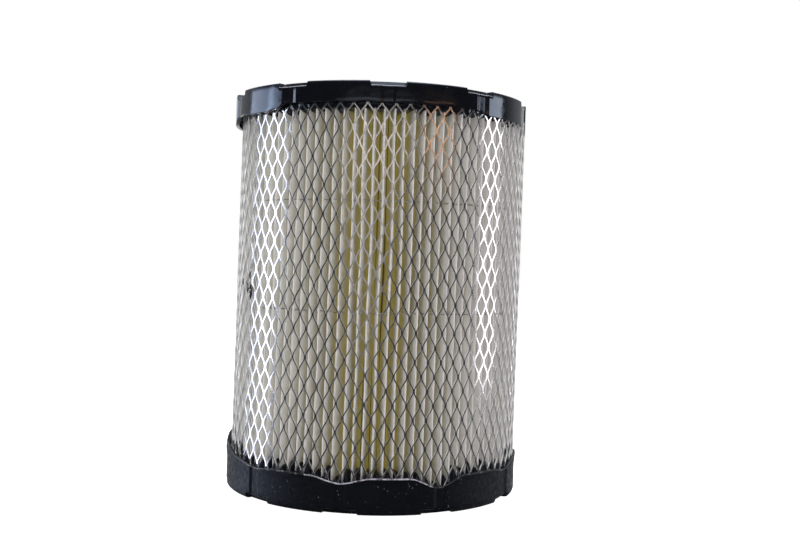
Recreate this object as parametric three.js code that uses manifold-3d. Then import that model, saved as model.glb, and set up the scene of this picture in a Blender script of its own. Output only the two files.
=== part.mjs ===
// Radial air filter cartridge of a small engine: a pleated paper pack between an outer and an inner
// screen, with both ends potted in moulded elastomer caps.
// Millimetres, +Z up along the cartridge's axis, origin at the centre of the bottom cap's face.
// Angles are in degrees about the axis: 0 faces -Y and +90 faces +X.
import * as THREE from 'three';
import { mergeVertices } from 'three/addons/utils/BufferGeometryUtils.js';
import Module from 'manifold-3d';

const wasm = await Module();
wasm.setup();

// ---- driving dimensions -------------------------------------------------------------------------
const HEIGHT = 146;
const CAP_RADIUS = 55.5;
const BORE_RADIUS = 34;
const CLEARANCE = 0.3;

// end caps
const TOP_SKIRT = 8.8;
const BOTTOM_SKIRT = 12.6;
const INNER_SKIRT = 8;
const POTTING_DEPTH = 4.3;
const TOP_EDGE_ROUND = 0.8;
const BOTTOM_EDGE_ROUND = 1.8;
const LIP_CHAMFER = 0.4;
const BORE_CHAMFER = 1.4;
const SEAL_GROOVE = { innerRadius: 40.4, outerRadius: 47.4, depth: 1.6, slope: 0.6 };
const NOTCH_COUNT = 10;
const NOTCH = { width: 12.4, radialDepth: 3, depth: 1.5 };
const FLUTE = { width: 4.4, depth: 0.6 };
const TOP_NOTCH_PHASE = 2.2;
const BOTTOM_NOTCH_PHASE = -10.8;

// screens
const OUTER_SCREEN = { radius: 54.1, thickness: 0.5, edgeAngle: -57, overlapAngle: 8, joggleAngle: 14 };
const INNER_SCREEN = { radius: 37.3, thickness: 0.5, edgeAngle: 150, overlapAngle: 10, joggleAngle: 14 };
const LAYER_GAP = 0.35;

// pleated pack
const PLEAT_COUNT = 95;
const PAPER = 0.45;
const PLEAT_OUTER_RADIUS = 51.4;
const PLEAT_INNER_RADIUS = 38.4;
const FOLD_HALF_WIDTH = 0.35;
const SEAM_ANGLE = 180;

// small pieces
const BEAD = { height: 1.2, thickness: 0.4 };
const UPPER_BEAD_Z = 106;
const LOWER_BEAD_Z = 67.9;
const CLIP = { halfWidth: 1.15, wall: 0.3, depth: 3.2, seat: 0.5 };
const CRIMP = { angle: -59, z: 74, width: 7, height: 9, thickness: 0.55, lobes: 7, lobeDepth: 0.28 };

// fineness of curves, and how far a cutter passes the faces it opens
const CIRCLE_STEPS = 80;
const ROUND_STEPS = 3;
const STEPS_PER_LOBE = 4;
const CUTTER_OVERRUN = 1;

// ---- materials ----------------------------------------------------------------------------------
const capFinish = new THREE.MeshStandardMaterial({ color: 0x15161a, roughness: 0.38, metalness: 0 });
const screenFinish = new THREE.MeshStandardMaterial({ color: 0xc2c4c6, roughness: 0.35, metalness: 1 });
const paperFinish = new THREE.MeshStandardMaterial({ color: 0xd6d0b8, roughness: 0.92, metalness: 0 });
const glueFinish = new THREE.MeshStandardMaterial({ color: 0xb9b29a, roughness: 0.45, metalness: 0 });
const steelFinish = new THREE.MeshStandardMaterial({ color: 0x6b6a68, roughness: 0.5, metalness: 0.9 });

// ---- geometry helpers ---------------------------------------------------------------------------
const radians = THREE.MathUtils.degToRad;

/** Point at a radius and an angle about the axis, with an optional sideways shift. */
function polar(radius, angle, sideways = 0) {
  const turn = radians(angle);
  const x = radius * Math.sin(turn) + sideways * Math.cos(turn);
  const y = -radius * Math.cos(turn) + sideways * Math.sin(turn);
  return new THREE.Vector2(x, y);
}

/** Closed solid from a geometry, whichever way its faces were wound. */
function solidOf(geometry) {
  const bare = geometry.clone();
  bare.deleteAttribute('normal');
  bare.deleteAttribute('uv');
  const merged = mergeVertices(bare);
  const vertProperties = new Float32Array(merged.attributes.position.array);
  const triVerts = new Uint32Array(merged.index.array);
  return new wasm.Manifold(new wasm.Mesh({ numProp: 3, vertProperties, triVerts }));
}

/** Buffer geometry with flat normals from a solid. */
function geometryOf(solid) {
  const mesh = solid.getMesh();
  const shared = new THREE.BufferGeometry();
  shared.setAttribute('position', new THREE.BufferAttribute(mesh.vertProperties, 3));
  shared.setIndex(new THREE.BufferAttribute(mesh.triVerts, 1));
  const geometry = shared.toNonIndexed();
  geometry.computeVertexNormals();
  return geometry;
}

/** Straight extrusion along +Z of an outline, with optional holes, from a base height. */
function prism(outline, base, height, holes = []) {
  const shape = new THREE.Shape(outline);
  shape.holes = holes.map((hole) => new THREE.Path(hole));
  const geometry = new THREE.ExtrudeGeometry(shape, { depth: height, bevelEnabled: false });
  geometry.translate(0, 0, base);
  return geometry;
}

/** Solid of revolution about Z from a closed profile of [radius, height] pairs, counter-clockwise. */
function revolve(profile) {
  const points = profile.map(([radius, z]) => new THREE.Vector2(radius, z));
  points.push(points[0].clone());
  const geometry = new THREE.LatheGeometry(points, CIRCLE_STEPS);
  geometry.rotateX(Math.PI / 2);
  return geometry;
}

/** Outline of a strip of constant thickness along a line of points: one side out, the other back. */
function stripOutline(line, thickness) {
  const left = [];
  const right = [];
  line.forEach((point, index) => {
    const before = line[Math.max(index - 1, 0)];
    const after = line[Math.min(index + 1, line.length - 1)];
    const arriving = point.clone().sub(before).normalize();
    const leaving = after.clone().sub(point).normalize();
    const along = arriving.clone().add(leaving).normalize();
    const across = new THREE.Vector2(-along.y, along.x);
    const mitre = Math.max(along.dot(arriving), along.dot(leaving));
    const reach = thickness / 2 / mitre;
    left.push(point.clone().addScaledVector(across, reach));
    right.push(point.clone().addScaledVector(across, -reach));
  });
  return [...left, ...right.reverse()];
}

// ---- end caps -----------------------------------------------------------------------------------
/** Profile of a cap as [radius, depth from its end face], from the rim's round inwards and back. */
function capProfile(skirt, edgeRound) {
  const round = [];
  for (let step = 0; step <= ROUND_STEPS; step += 1) {
    const turn = (Math.PI / 2) * (step / ROUND_STEPS);
    const radius = CAP_RADIUS - edgeRound * (1 - Math.cos(turn));
    round.push([radius, edgeRound * (1 - Math.sin(turn))]);
  }
  const groove = SEAL_GROOVE;
  const channelOuter = OUTER_SCREEN.radius + CLEARANCE;
  const channelInner = INNER_SCREEN.radius - 2 * INNER_SCREEN.thickness - LAYER_GAP - CLEARANCE;
  return [
    ...round,
    [groove.outerRadius + groove.slope, 0],
    [groove.outerRadius, groove.depth],
    [groove.innerRadius, groove.depth],
    [groove.innerRadius - groove.slope, 0],
    [BORE_RADIUS + BORE_CHAMFER, 0],
    [BORE_RADIUS, BORE_CHAMFER],
    [BORE_RADIUS, INNER_SKIRT - LIP_CHAMFER],
    [BORE_RADIUS + LIP_CHAMFER, INNER_SKIRT],
    [channelInner, INNER_SKIRT],
    [channelInner, POTTING_DEPTH],
    [channelOuter, POTTING_DEPTH],
    [channelOuter, skirt],
    [CAP_RADIUS - LIP_CHAMFER, skirt],
    [CAP_RADIUS, skirt - LIP_CHAMFER],
  ];
}

/** Box that cuts a depth into the rim at an angle, between two heights. */
function rimCutter(angle, width, depth, low, high) {
  const reach = depth + CUTTER_OVERRUN;
  const box = new THREE.BoxGeometry(width, reach, high - low);
  box.translate(0, reach / 2 - CAP_RADIUS - CUTTER_OVERRUN, (low + high) / 2);
  box.rotateZ(radians(angle));
  return solidOf(box);
}

/** Moulded cap whose end face is at faceZ and whose skirt points along inward (+1 up, -1 down). */
function endCap(faceZ, inward, skirt, edgeRound, notchPhase) {
  const profile = capProfile(skirt, edgeRound).map(([radius, depth]) => [radius, faceZ + inward * depth]);
  let cap = solidOf(revolve(inward > 0 ? profile.reverse() : profile));
  for (let index = 0; index < NOTCH_COUNT; index += 1) {
    const angle = notchPhase + (index * 360) / NOTCH_COUNT;
    const notchEnds = [faceZ - inward * CUTTER_OVERRUN, faceZ + inward * NOTCH.depth].sort((a, b) => a - b);
    cap = cap.subtract(rimCutter(angle, NOTCH.width, NOTCH.radialDepth, ...notchEnds));
    const fluteEnds = [faceZ, faceZ + inward * (skirt + CUTTER_OVERRUN)].sort((a, b) => a - b);
    cap = cap.subtract(rimCutter(angle, FLUTE.width, FLUTE.depth, ...fluteEnds));
  }
  return geometryOf(cap);
}

// ---- screens ------------------------------------------------------------------------------------
/** Rolled sheet whose last few degrees tuck under its own first edge, with a gap between layers. */
function rolledScreen(screen) {
  const tuck = screen.thickness + LAYER_GAP;
  const sweep = 360 + screen.overlapAngle;
  const steps = Math.round((CIRCLE_STEPS * sweep) / 360);
  const line = [];
  for (let step = 0; step <= steps; step += 1) {
    const travelled = (sweep * step) / steps;
    const joggle = (travelled - (360 - screen.joggleAngle)) / screen.joggleAngle;
    const inset = tuck * THREE.MathUtils.clamp(joggle, 0, 1);
    const radius = screen.radius - screen.thickness / 2 - inset;
    line.push(polar(radius, screen.edgeAngle + travelled));
  }
  const base = POTTING_DEPTH + CLEARANCE;
  return prism(stripOutline(line, screen.thickness), base, HEIGHT - 2 * base);
}

// ---- paper pack ---------------------------------------------------------------------------------
/** Centre line of the folded paper, from one end leg at the seam round to the other. */
function pleatLine() {
  const pitch = 360 / PLEAT_COUNT;
  const line = [polar(PLEAT_INNER_RADIUS, SEAM_ANGLE, FOLD_HALF_WIDTH)];
  for (let pleat = 0; pleat < PLEAT_COUNT; pleat += 1) {
    const tip = SEAM_ANGLE + (pleat + 0.5) * pitch;
    line.push(polar(PLEAT_OUTER_RADIUS, tip, -FOLD_HALF_WIDTH));
    line.push(polar(PLEAT_OUTER_RADIUS, tip, FOLD_HALF_WIDTH));
    if (pleat < PLEAT_COUNT - 1) {
      const valley = tip + pitch / 2;
      line.push(polar(PLEAT_INNER_RADIUS, valley, -FOLD_HALF_WIDTH));
      line.push(polar(PLEAT_INNER_RADIUS, valley, FOLD_HALF_WIDTH));
    }
  }
  line.push(polar(PLEAT_INNER_RADIUS, SEAM_ANGLE, -FOLD_HALF_WIDTH));
  return line;
}

/** The folded paper as one strip, open only at its seam. */
function pleatedPaper() {
  const base = POTTING_DEPTH + CLEARANCE;
  return prism(stripOutline(pleatLine(), PAPER), base, HEIGHT - 2 * base);
}

/** Folded metal channel, in plan, that grips the two end legs from the inside of the pack. */
function seamClip() {
  const { halfWidth, wall, depth, seat } = CLIP;
  const back = PLEAT_INNER_RADIUS - seat;
  const front = back + depth;
  const corners = [
    [back - wall, -halfWidth],
    [back - wall, halfWidth],
    [front, halfWidth],
    [front, halfWidth - wall],
    [back, halfWidth - wall],
    [back, wall - halfWidth],
    [front, wall - halfWidth],
    [front, -halfWidth],
  ];
  const outline = corners.map(([radius, sideways]) => polar(radius, SEAM_ANGLE, sideways));
  const base = POTTING_DEPTH + CLEARANCE;
  return prism(outline, base, HEIGHT - 2 * base);
}

/** Hot-melt bead laid round the outer pleat tips at a height. */
function pleatBead(middleZ) {
  const inner = PLEAT_OUTER_RADIUS + PAPER / 2 + CLEARANCE;
  const outer = inner + BEAD.thickness;
  const low = middleZ - BEAD.height / 2;
  const high = middleZ + BEAD.height / 2;
  const middle = (inner + outer) / 2;
  const profile = [
    [inner, low],
    [middle, low],
    [outer, middleZ],
    [middle, high],
    [inner, high],
  ];
  return geometryOf(solidOf(revolve(profile)));
}

/** Flattened, ragged-edged fold of metal that pinches the outer screen's seam, curved to the screen. */
function seamCrimp() {
  const inner = OUTER_SCREEN.radius + CLEARANCE;
  const outline = [];
  const steps = CRIMP.lobes * STEPS_PER_LOBE;
  for (let step = 0; step < steps; step += 1) {
    const turn = (2 * Math.PI * step) / steps;
    const ragged = 1 - CRIMP.lobeDepth * (1 + Math.cos(CRIMP.lobes * turn)) / 2;
    const across = (CRIMP.width / 2) * ragged * Math.cos(turn);
    const up = (CRIMP.height / 2) * ragged * Math.sin(turn);
    outline.push(new THREE.Vector2(across, up));
  }
  const flat = prism(outline, 0, CRIMP.thickness);
  const place = new THREE.Matrix4().makeBasis(
    new THREE.Vector3(1, 0, 0),
    new THREE.Vector3(0, 0, 1),
    new THREE.Vector3(0, -1, 0),
  );
  flat.applyMatrix4(place);
  const position = flat.attributes.position;
  for (let index = 0; index < position.count; index += 1) {
    const radius = inner - position.getY(index);
    const bend = position.getX(index) / inner;
    position.setX(index, radius * Math.sin(bend));
    position.setY(index, -radius * Math.cos(bend));
  }
  flat.translate(0, 0, CRIMP.z);
  flat.rotateZ(radians(CRIMP.angle));
  return flat;
}

// ---- assembly -----------------------------------------------------------------------------------
const cartridge = new THREE.Group();

/** Adds one named piece to the assembly. */
function addPiece(name, geometry, material) {
  const mesh = new THREE.Mesh(geometry, material.clone());
  mesh.name = name;
  cartridge.add(mesh);
}

addPiece('bottom_end_cap', endCap(0, 1, BOTTOM_SKIRT, BOTTOM_EDGE_ROUND, BOTTOM_NOTCH_PHASE), capFinish);
addPiece('top_end_cap', endCap(HEIGHT, -1, TOP_SKIRT, TOP_EDGE_ROUND, TOP_NOTCH_PHASE), capFinish);
addPiece('outer_screen', rolledScreen(OUTER_SCREEN), screenFinish);
addPiece('inner_screen', rolledScreen(INNER_SCREEN), screenFinish);
addPiece('pleated_paper', pleatedPaper(), paperFinish);
addPiece('paper_seam_clip', seamClip(), steelFinish);
addPiece('pleat_bead_upper', pleatBead(UPPER_BEAD_Z), glueFinish);
addPiece('pleat_bead_lower', pleatBead(LOWER_BEAD_Z), glueFinish);
addPiece('outer_screen_seam_crimp', seamCrimp(), steelFinish);

export default cartridge;
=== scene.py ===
"""Looks of a small engine's radial air filter cartridge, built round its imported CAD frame.

Metres, +Z up along the cartridge's axis. Angles about the axis are in degrees: 0 faces -Y, +90 faces +X.
"""
import math

import bpy
import numpy as np
from mathutils import Matrix, Vector


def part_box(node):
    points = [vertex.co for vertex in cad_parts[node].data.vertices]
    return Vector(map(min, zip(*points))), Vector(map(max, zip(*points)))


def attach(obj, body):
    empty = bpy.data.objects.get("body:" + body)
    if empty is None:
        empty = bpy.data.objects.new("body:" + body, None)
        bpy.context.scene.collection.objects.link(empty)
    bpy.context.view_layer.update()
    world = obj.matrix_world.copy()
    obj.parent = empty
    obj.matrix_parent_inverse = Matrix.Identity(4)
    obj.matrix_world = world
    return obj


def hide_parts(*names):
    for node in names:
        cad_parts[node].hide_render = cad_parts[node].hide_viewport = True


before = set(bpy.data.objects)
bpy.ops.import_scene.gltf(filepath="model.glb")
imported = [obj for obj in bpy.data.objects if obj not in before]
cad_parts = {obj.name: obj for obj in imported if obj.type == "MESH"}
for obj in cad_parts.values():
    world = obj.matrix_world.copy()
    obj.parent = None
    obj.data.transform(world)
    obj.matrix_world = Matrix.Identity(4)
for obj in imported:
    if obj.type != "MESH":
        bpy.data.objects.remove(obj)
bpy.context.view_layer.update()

MM = 0.001
SEED = 4211
rng = np.random.default_rng(SEED)


# ---- sizes read from the frame ------------------------------------------------------------------
def outer_radius(node):
    """Largest distance of a node's box from the axis."""
    low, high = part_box(node)
    return max(abs(low[0]), abs(high[0]), abs(low[1]), abs(high[1]))


CAP_RADIUS = outer_radius("bottom_end_cap")
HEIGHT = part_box("top_end_cap")[1][2]
TOP_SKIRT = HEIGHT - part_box("top_end_cap")[0][2]
BOTTOM_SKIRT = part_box("bottom_end_cap")[1][2]
SCREEN_RADIUS = outer_radius("outer_screen")
CORE_RADIUS = outer_radius("inner_screen")
PACK_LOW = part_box("pleated_paper")[0][2]
PACK_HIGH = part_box("pleated_paper")[1][2]
BEAD_HEIGHTS = {
    name: (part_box(name)[0][2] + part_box(name)[1][2]) / 2 for name in ("pleat_bead_upper", "pleat_bead_lower")
}
CLIP_LOW, CLIP_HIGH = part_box("paper_seam_clip")
CRIMP_LOW, CRIMP_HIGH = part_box("outer_screen_seam_crimp")

# ---- shared shape constants ---------------------------------------------------------------------
# Half widths, walls, pitches, phases and LARGEST_DRIFT are in degrees round the axis.
# FLUTE_DRIFT is degrees of drift per degree round the cap. Sizes with MM are in metres.
BORE_RADIUS = 34 * MM
PACK_SHIFT = 0.5 * MM
PACK_LEAN = 0.85 * MM
NOTCH_COUNT = 10
SECTOR = 360 / NOTCH_COUNT
NOTCH_HALF_WIDTH = 6.3
NOTCH_RADIAL_DEPTH = 3.0 * MM
NOTCH_DEPTH = 1.55 * MM
FLUTE_HALF_WIDTH = 2.2
FLUTE_WALL = 1.6
FLUTE_DEPTH = 0.52 * MM
FLUTE_DRIFT = 0.035
LARGEST_DRIFT = 1.3
TOP_PHASE = 2.2
BOTTOM_PHASE = -10.8
PLEATS = 95
PLEAT_PITCH = 360 / PLEATS
PLEAT_TIP = 52.3 * MM
PLEAT_VALLEY = 38.3 * MM


# ---- mesh helpers -------------------------------------------------------------------------------
def on_circle(radius, angle):
    """x and y of a radius and an angle in degrees."""
    turn = np.radians(angle)
    return radius * np.sin(turn), -radius * np.cos(turn)


def leaned(x, z):
    """x of a point of the pack, its screens or its potting, which sit and lean a little towards +X."""
    return x + PACK_SHIFT + PACK_LEAN * np.clip((z - BOTTOM_SKIRT) / (HEIGHT - BOTTOM_SKIRT), 0, 1)


def smoothstep(value, low, high):
    """0 below low, 1 above high and a smooth rise between them."""
    t = np.clip((value - low) / (high - low), 0, 1)
    return t * t * (3 - 2 * t)


def wave_noise(count, samples, cycles, smooth_across=0):
    """Smooth random curves: one row of samples for each of count neighbours, about -1 to 1."""
    position = np.linspace(0, 1, samples)
    rows = np.zeros((count, samples))
    for frequency in cycles:
        phase = rng.uniform(0, 2 * np.pi, (count, 1))
        weight = rng.normal(0, 1, (count, 1)) / len(cycles)
        rows += weight * np.cos(2 * np.pi * frequency * position[None, :] + phase)
    for _ in range(smooth_across):
        rows = (np.roll(rows, 1, axis=0) + 2 * rows + np.roll(rows, -1, axis=0)) / 4
    return rows


def ring_noise(angles, cycles):
    """Smooth random curve round a full circle, about -1 to 1, at the given angles in degrees."""
    turn = np.radians(angles)
    total = np.zeros_like(turn)
    for frequency in cycles:
        total += rng.normal(0, 1) * np.cos(frequency * turn + rng.uniform(0, 2 * np.pi))
    return total / math.sqrt(len(cycles))


def make_piece(name, points, faces, material, node, crease=None):
    """One visible piece from points and quads, riding on the cartridge in place of a CAD node.

    Edges that turn by more than crease degrees stay sharp.
    """
    mesh = bpy.data.meshes.new(name)
    mesh.from_pydata(points.reshape(-1, 3).tolist(), [], faces.tolist())
    mesh.validate()
    mesh.polygons.foreach_set("use_smooth", np.ones(len(mesh.polygons), dtype=bool))
    mesh.update()
    if crease:
        mesh.set_sharp_from_angle(angle=math.radians(crease))
    piece = bpy.data.objects.new(name, mesh)
    bpy.context.scene.collection.objects.link(piece)
    mesh.materials.append(material)
    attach(piece, "root")
    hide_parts(node)


def grid_faces(rows, columns, wrap_rows=True):
    """Quads of a grid of points held row by row, each row closed into a loop."""
    row_count = rows if wrap_rows else rows - 1
    row = np.arange(row_count)[:, None]
    column = np.arange(columns)[None, :]
    next_row = (row + 1) % rows
    next_column = (column + 1) % columns
    corners = [
        row * columns + column,
        next_row * columns + column,
        next_row * columns + next_column,
        row * columns + next_column,
    ]
    quads = np.stack([np.broadcast_to(corner, (row_count, columns)) for corner in corners], -1)
    return quads.reshape(-1, 4)


def bars(paths, sides, outs, widths, thickness):
    """Square-section bars along many paths at once.

    paths, sides and outs are (bars, steps, 3); widths is (bars, steps). Each bar is one closed body.
    """
    half_width = widths[..., None] / 2 * sides
    half_thick = thickness / 2 * outs
    corners = np.stack(
        [
            paths - half_width - half_thick,
            paths + half_width - half_thick,
            paths + half_width + half_thick,
            paths - half_width + half_thick,
        ],
        axis=2,
    )
    count, steps = paths.shape[:2]
    one = grid_faces(steps, 4, wrap_rows=False)
    ends = np.array([[0, 1, 2, 3], [steps * 4 - 1, steps * 4 - 2, steps * 4 - 3, steps * 4 - 4]])
    one = np.concatenate([one, ends])
    faces = [one + index * steps * 4 for index in range(count)]
    return corners, np.concatenate(faces)


# ---- materials ----------------------------------------------------------------------------------
CAP_BLACK = (0.002, 0.002, 0.003)
CAP_SHEEN = (0.66, 0.78, 1.0, 1.0)
# Grey colours painted as highlights on the top cap's up-facing rim and notch edges.
RIM_PAINTED_HIGHLIGHT = (0.2, 0.2, 0.22)
NOTCH_EDGE_PAINTED_HIGHLIGHT = (0.42, 0.42, 0.44)
# Paper colours hold painted light: the tip colour is darkened as painted shade, and the deep yellow is partly
# painted transmitted light.
PAPER_DEEP_AND_PAINTED_LIGHT = (0.54, 0.475, 0.235)
PAPER_SHALLOW = (0.61, 0.59, 0.56)
PAPER_TIP_WITH_PAINTED_SHADE = (0.58, 0.55, 0.55)
PAPER_AT_BORE = (0.56, 0.54, 0.47)
# Yellow emission deep in the folds is a painted glow standing in for light passing the paper.
PAINTED_TRANSMITTED_GLOW = (1.0, 0.86, 0.22, 1)
LARGEST_PAINTED_GLOW = 0.1
TARNISH_SHARE = 0.72


def new_material(name, color, roughness, metallic=0.0, **sockets):
    """Principled material with its constant values on the shader's own sockets."""
    material = bpy.data.materials.new(name)
    material.use_nodes = True
    shader = material.node_tree.nodes["Principled BSDF"]
    shader.inputs["Base Color"].default_value = (*color, 1)
    shader.inputs["Roughness"].default_value = roughness
    shader.inputs["Metallic"].default_value = metallic
    for socket, value in sockets.items():
        shader.inputs[socket.replace("_", " ")].default_value = value
    return material


class Nodes:
    """Short way to add and link shader nodes in one material."""

    def __init__(self, material):
        self.tree = material.node_tree
        self.shader = self.tree.nodes["Principled BSDF"]
        self.position = self.add("ShaderNodeTexCoord").outputs["Object"]

    def add(self, kind, **settings):
        node = self.tree.nodes.new(kind)
        for key, value in settings.items():
            setattr(node, key, value)
        return node

    def link(self, output, target):
        self.tree.links.new(output, target)

    def stretched(self, x, y, z):
        """Object position scaled by a factor along each axis."""
        node = self.add("ShaderNodeMapping")
        node.inputs["Scale"].default_value = (x, y, z)
        self.link(self.position, node.inputs["Vector"])
        return node.outputs["Vector"]

    def noise(self, grain, detail=3.0, roughness=0.55, vector=None):
        """Noise whose features are about one grain (in metres) across."""
        node = self.add("ShaderNodeTexNoise")
        node.inputs["Scale"].default_value = 1 / grain
        node.inputs["Detail"].default_value = detail
        node.inputs["Roughness"].default_value = roughness
        self.link(vector or self.position, node.inputs["Vector"])
        return node.outputs["Fac"]

    def cells(self, size):
        """Distance to the nearest of random points about one size apart."""
        node = self.add("ShaderNodeTexVoronoi")
        node.inputs["Scale"].default_value = 1 / size
        self.link(self.position, node.inputs["Vector"])
        return node.outputs["Distance"]

    def ramp(self, value, low, high, start=0.0, end=1.0):
        """Value mapped from low..high to start..end, held at both ends."""
        node = self.add("ShaderNodeMapRange", clamp=True)
        node.inputs["From Min"].default_value = low
        node.inputs["From Max"].default_value = high
        node.inputs["To Min"].default_value = start
        node.inputs["To Max"].default_value = end
        self.link(value, node.inputs["Value"])
        return node.outputs["Result"]

    def math(self, operation, first, second=0.0):
        """Result of a Math node's operation on two values or outputs."""
        node = self.add("ShaderNodeMath", operation=operation)
        for socket, value in zip(node.inputs, (first, second)):
            if isinstance(value, (int, float)):
                socket.default_value = value
            else:
                self.link(value, socket)
        return node.outputs["Value"]

    def mix(self, factor, first, second):
        """Colour between two colours or colour outputs."""
        node = self.add("ShaderNodeMix", data_type="RGBA")
        self.link(factor, node.inputs["Factor"])
        for socket, value in zip((node.inputs[6], node.inputs[7]), (first, second)):
            if isinstance(value, tuple):
                socket.default_value = (*value, 1)
            else:
                self.link(value, socket)
        return node.outputs[2]

    def bump(self, height, distance):
        """Bump of a height from 0 to 1 over a distance in metres."""
        node = self.add("ShaderNodeBump")
        node.inputs["Strength"].default_value = 1.0
        node.inputs["Distance"].default_value = distance
        self.link(height, node.inputs["Height"])
        self.link(node.outputs["Normal"], self.shader.inputs["Normal"])

    def part_of(self, vector, axis):
        """The X, Y or Z part of a vector."""
        node = self.add("ShaderNodeSeparateXYZ")
        self.link(vector, node.inputs["Vector"])
        return node.outputs[axis]

    def normal(self):
        """Direction that the surface faces."""
        return self.add("ShaderNodeNewGeometry").outputs["Normal"]

    def facing_out(self):
        """1 where the surface faces straight out from the axis or straight in, 0 where it faces across."""
        flat = self.add("ShaderNodeVectorMath", operation="NORMALIZE")
        self.link(self.stretched(1, 1, 0), flat.inputs[0])
        dot = self.add("ShaderNodeVectorMath", operation="DOT_PRODUCT")
        self.link(flat.outputs["Vector"], dot.inputs[0])
        self.link(self.normal(), dot.inputs[1])
        return self.math("ABSOLUTE", dot.outputs["Value"])

    def axis_distance(self):
        """Distance from the cartridge's axis."""
        x_squared = self.math("POWER", self.part_of(self.position, "X"), 2.0)
        y_squared = self.math("POWER", self.part_of(self.position, "Y"), 2.0)
        return self.math("SQRT", self.math("ADD", x_squared, y_squared))


def top_cap_material():
    """Glossy black moulded skin with a little dust, and painted highlights in patchy grey on the up-facing
    rounded edges of its rim and its notches.
    """
    material = new_material(
        "top_cap_elastomer", CAP_BLACK, 0.12, Specular_IOR_Level=0.62, Specular_Tint=CAP_SHEEN
    )
    nodes = Nodes(material)
    smears = nodes.noise(6 * MM, 4, 0.6, nodes.stretched(1, 1, 2.2))
    nodes.link(nodes.ramp(smears, 0.35, 0.7, 0.09, 0.17), nodes.shader.inputs["Roughness"])
    dust = nodes.ramp(nodes.cells(2.6 * MM), 0.03, 0.07, 1, 0)
    sparse = nodes.ramp(nodes.noise(9 * MM, 1), 0.58, 0.62)
    specks = nodes.math("MULTIPLY", dust, sparse)
    dusty = nodes.mix(specks, CAP_BLACK, (0.09, 0.09, 0.1))
    # Painted highlight: patchy grey base colour on rounded edges that face up, paler at the notch floors' outer
    # edges.
    up = nodes.part_of(nodes.normal(), "Z")
    rounded = nodes.math("MULTIPLY", nodes.ramp(up, 0.4, 0.62), nodes.ramp(up, 0.85, 0.95, 1, 0))
    height = nodes.part_of(nodes.position, "Z")
    lower_edge = nodes.ramp(height, HEIGHT - 1.1 * MM, HEIGHT - 0.8 * MM, 1, 0)
    painted_highlight = nodes.mix(lower_edge, RIM_PAINTED_HIGHLIGHT, NOTCH_EDGE_PAINTED_HIGHLIGHT)
    highlight_mask = nodes.math("MULTIPLY", rounded, nodes.ramp(nodes.noise(4 * MM, 3), 0.3, 0.6, 0.4, 1.0))
    nodes.link(nodes.mix(highlight_mask, dusty, painted_highlight), nodes.shader.inputs["Base Color"])
    waves = nodes.noise(7 * MM, 2)
    ripples = nodes.math("MULTIPLY", nodes.noise(0.9 * MM, 2), 0.08)
    nodes.bump(nodes.math("ADD", waves, ripples), 0.07 * MM)
    return material


def bottom_cap_material():
    """Satin black cast skin with pits, specks and patches of duller and shinier texture."""
    material = new_material(
        "bottom_cap_elastomer", CAP_BLACK, 0.42, Specular_IOR_Level=0.25, Specular_Tint=CAP_SHEEN
    )
    nodes = Nodes(material)
    patches = nodes.noise(1.6 * MM, 5, 0.7)
    nodes.link(nodes.ramp(patches, 0.38, 0.62, 0.3, 0.62), nodes.shader.inputs["Roughness"])
    dust = nodes.ramp(nodes.cells(1.3 * MM), 0.08, 0.16, 1, 0)
    sparse = nodes.ramp(nodes.noise(6 * MM, 2), 0.5, 0.6)
    specks = nodes.math("MULTIPLY", dust, sparse)
    nodes.link(nodes.mix(specks, CAP_BLACK, (0.14, 0.14, 0.15)), nodes.shader.inputs["Base Color"])
    pits = nodes.ramp(nodes.cells(1.1 * MM), 0.1, 0.3)
    grain = nodes.noise(0.35 * MM, 3, 0.6)
    nodes.bump(nodes.math("ADD", nodes.math("MULTIPLY", pits, 0.6), grain), 0.11 * MM)
    return material


def flash_material():
    """Thin flash of the same elastomer, paled in random patches, and paled more near the front and back as a
    painted highlight.
    """
    material = new_material("bottom_cap_flash", (0.2, 0.19, 0.22), 0.4)
    nodes = Nodes(material)
    sideways = nodes.math("ABSOLUTE", nodes.part_of(nodes.position, "X"))
    # Painted highlight: the random patches are biased paler near the front and back, where the fin's edge
    # catches light.
    facing = nodes.ramp(sideways, 17 * MM, 24 * MM, 0.14, -0.04)
    patches = nodes.math("ADD", nodes.noise(1.1 * MM, 4, 0.75), facing)
    pale = nodes.ramp(patches, 0.5, 0.68)
    nodes.link(nodes.mix(pale, (0.006, 0.006, 0.008), (0.32, 0.3, 0.35)), nodes.shader.inputs["Base Color"])
    nodes.bump(nodes.noise(0.4 * MM, 2), 0.05 * MM)
    return material


def screen_material(name, color, roughness, cut_edges=False):
    """Bright sheet metal with rolling streaks and slight tarnish, and duller, paler cut edges if asked."""
    material = new_material(name, color, roughness, metallic=1.0)
    nodes = Nodes(material)
    tarnish = nodes.ramp(nodes.noise(3.5 * MM, 4, 0.6), 0.35, 0.75)
    darker = tuple(channel * TARNISH_SHARE for channel in color)
    sheet_color = nodes.mix(tarnish, color, darker)
    streaks = nodes.noise(0.5 * MM, 3, 0.6, nodes.stretched(1, 1, 0.25))
    sheet_roughness = nodes.ramp(streaks, 0.3, 0.7, roughness - 0.05, roughness + 0.08)
    if cut_edges:
        cut = nodes.ramp(nodes.facing_out(), 0.35, 0.75, 1, 0)
        sheet_color = nodes.mix(cut, sheet_color, (0.9, 0.9, 0.9))
        sheet_roughness = nodes.math("ADD", sheet_roughness, nodes.math("MULTIPLY", cut, 0.5))
    nodes.link(sheet_color, nodes.shader.inputs["Base Color"])
    nodes.link(sheet_roughness, nodes.shader.inputs["Roughness"])
    nodes.bump(streaks, 0.015 * MM)
    return material


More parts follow.
